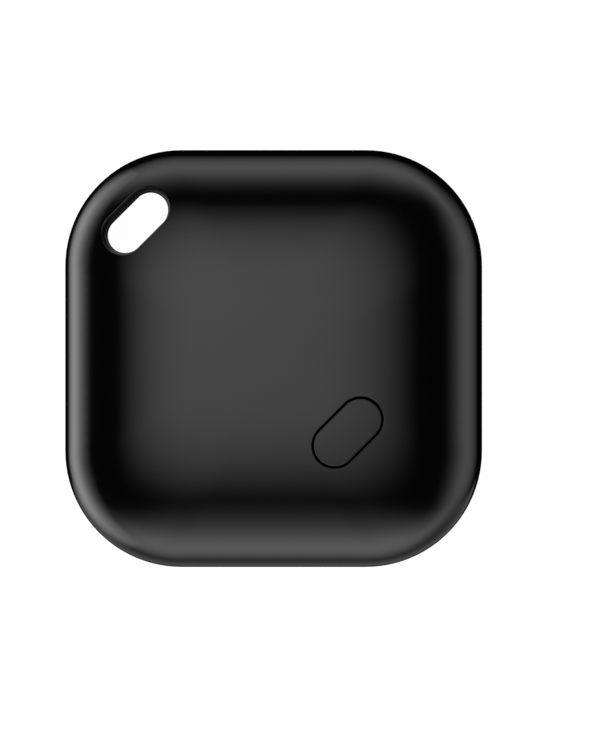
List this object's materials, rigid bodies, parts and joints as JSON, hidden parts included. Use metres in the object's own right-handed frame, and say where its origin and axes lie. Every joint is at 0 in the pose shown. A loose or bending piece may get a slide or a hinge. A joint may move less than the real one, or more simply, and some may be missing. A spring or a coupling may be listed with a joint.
{
  "type": "bluetooth tracker tag",
  "caption": "Square key and bag tracker with very round corners, a pillow-shaped front, a capsule lanyard slot in one corner and a flush push button; the front half lifts off its coin cell.",
  "frame": {"origin": "middle of the flat back face, on the surface that the tag lies on", "axes": "+Z out of the front face, +X to the right and +Y up as the front is seen, with the lanyard slot at the upper left and the button at the lower right"},
  "size_m": [0.038, 0.038, 0.008],
  "materials": {
    "shell_plastic": "satin black, very finely moulded texture",
    "button_plastic": "satin black, as the shells",
    "silicone": "dark grey silicone rubber",
    "circuit_board": "dark green solder mask with tinned pads",
    "steel": "nickel-plated steel",
    "contact_gold": "thin gold plate on sprung bronze",
    "brass": "rolled brass sheet",
    "ceramic": "fired ceramic with silver electrodes",
    "chip_epoxy": "black moulding compound",
    "ferrite": "grey pressed ferrite",
    "cell_core": "pressed dark grey powder",
    "nylon": "natural nylon",
    "adhesive": "off-white acrylic foam tape"
  },
  "bodies": {
    "rear_half": {"rear_shell": "shell_plastic", "rim_gasket": "silicone", "circuit_board": "circuit_board", "board_screw_1": "steel", "board_screw_2": "steel", "board_screw_3": "steel", "radio_chip": "chip_epoxy", "radio_crystal": "steel", "chip_antenna": "ceramic", "booster_coil": "ferrite", "capacitor_1": "ceramic", "capacitor_2": "ceramic", "capacitor_3": "ceramic", "resistor_1": "chip_epoxy", "resistor_2": "chip_epoxy", "negative_contact": "contact_gold", "coin_cell_cap": "steel", "coin_cell_seal": "nylon", "coin_cell_core": "cell_core", "coin_cell_can": "steel", "positive_clip": "steel", "buzzer_spring_1": "contact_gold", "buzzer_spring_2": "contact_gold", "switch_body": "chip_epoxy", "switch_plate": "steel", "switch_dome": "steel"},
    "front_half": {"front_shell": "shell_plastic", "buzzer_adhesive": "adhesive", "buzzer_plate": "brass", "buzzer_ceramic": "ceramic", "button_membrane": "silicone"},
    "button": {"button_cap": "button_plastic"},
    "plunger": {"switch_plunger": "chip_epoxy"}
  },
  "joints": [
    {"name": "front_half_lift", "type": "slide", "parent": "rear_half", "child": "front_half", "axis": [0, 0, 1], "range_m": [0, 0.015]},
    {"name": "button_press", "type": "slide", "parent": "front_half", "child": "button", "axis": [0, 0, -1], "range_m": [0, 0.0003], "stiffness_N_per_m": 1000, "deforming": ["button_membrane"]},
    {"name": "plunger_press", "type": "slide", "parent": "rear_half", "child": "plunger", "axis": [0, 0, -1], "range_m": [0, 0.0003], "deforming": ["switch_dome"]}
  ],
  "couplings": [
    {"joint": "plunger_press", "follows": "button_press", "ratio": 1}
  ]
}
